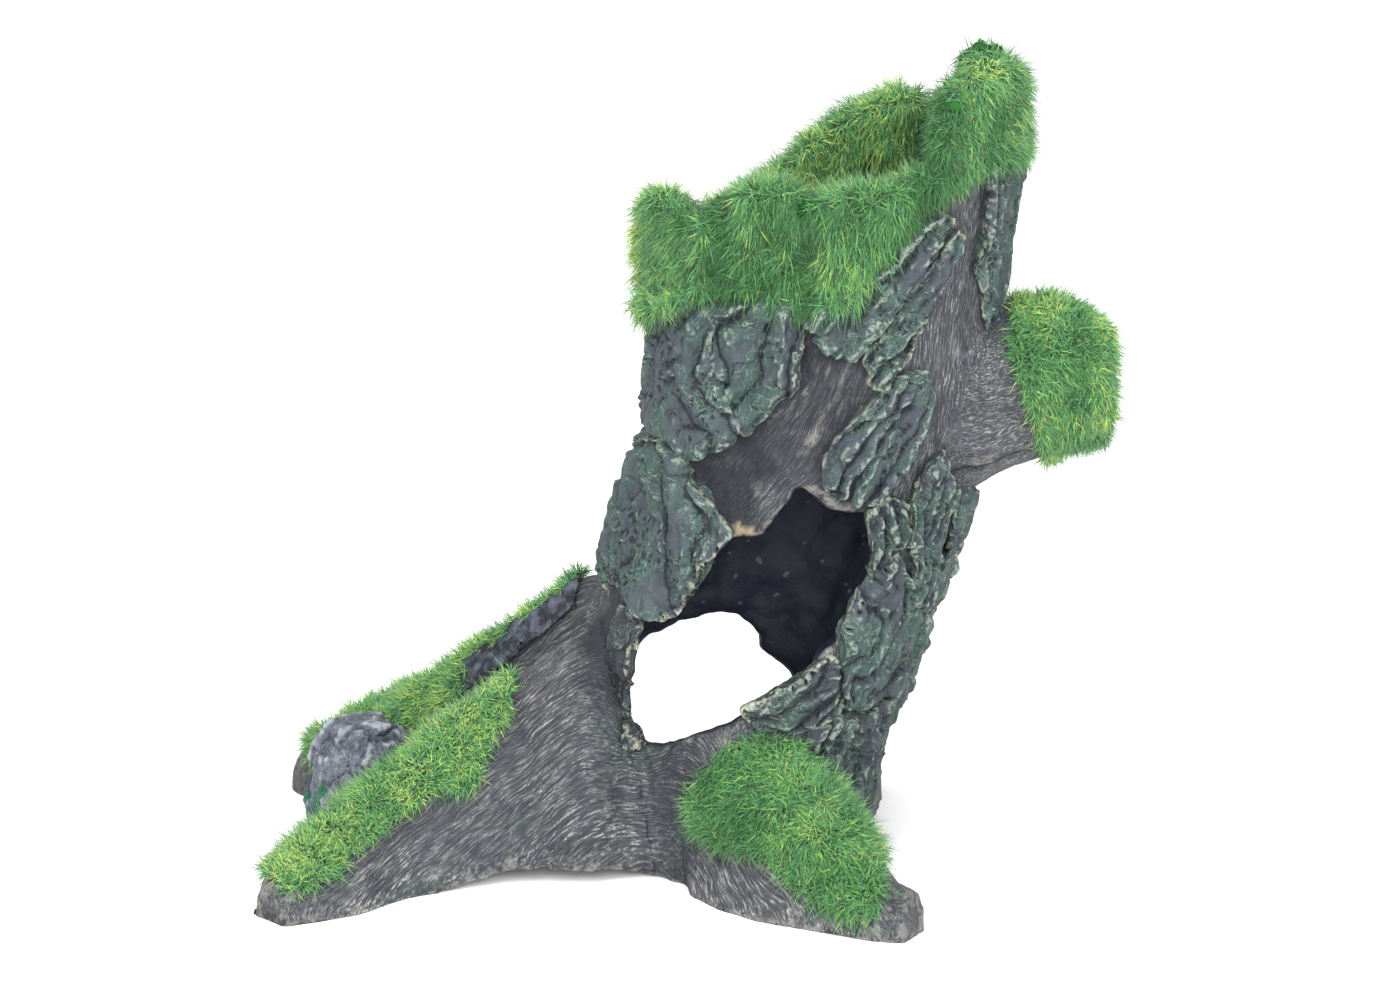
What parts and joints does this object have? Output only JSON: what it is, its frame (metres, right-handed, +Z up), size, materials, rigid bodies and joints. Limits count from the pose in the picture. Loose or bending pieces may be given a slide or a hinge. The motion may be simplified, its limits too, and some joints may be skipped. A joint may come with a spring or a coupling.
{
  "type": "aquarium cave ornament",
  "caption": "Hollow resin tree-stump cave ornament with spreading roots, a branch stub, bark slabs and green moss mats.",
  "frame": {"origin": "centre of the base of the ornament's box, on the surface it stands on", "axes": "+Z up, -Y towards the front door, +X towards the branch stub"},
  "size_m": [0.1895, 0.1088, 0.1878],
  "materials": {
    "resin_wood": "matt painted resin, dry-brushed cream on the grain",
    "resin_bark": "matt painted resin, green-grey with cream edges",
    "resin_stone": "matt painted resin, blue-grey",
    "moss_flock": "long nylon flock fibres"
  },
  "bodies": {
    "root": {"trunk_shell": "resin_wood", "branch_stub": "resin_wood", "root_front_left": "resin_wood", "root_back_left": "resin_wood", "root_front_right": "resin_wood", "root_back_right": "resin_wood", "bark_crown_left": "resin_bark", "bark_crown_centre": "resin_bark", "bark_door_left": "resin_bark", "bark_door_post": "resin_bark", "bark_centre_upper": "resin_bark", "bark_centre_ridge": "resin_bark", "bark_centre_lower": "resin_bark", "bark_right_narrow": "resin_bark", "bark_right_outer": "resin_bark", "bark_door_upper_right": "resin_bark", "bark_door_right": "resin_bark", "bark_sill_right": "resin_bark", "bark_foot_right": "resin_bark", "bark_spire_right": "resin_bark", "bark_back_upper": "resin_bark", "bark_back_middle": "resin_bark", "bark_back_left": "resin_bark", "bark_back_right": "resin_bark", "root_stone": "resin_stone", "moss_crown_left": "moss_flock", "moss_crown_front": "moss_flock", "moss_crown_back": "moss_flock", "moss_spire": "moss_flock", "moss_root_front_left": "moss_flock", "moss_root_back_left": "moss_flock", "moss_root_front_right": "moss_flock", "moss_branch": "moss_flock"}
  },
  "joints": []
}
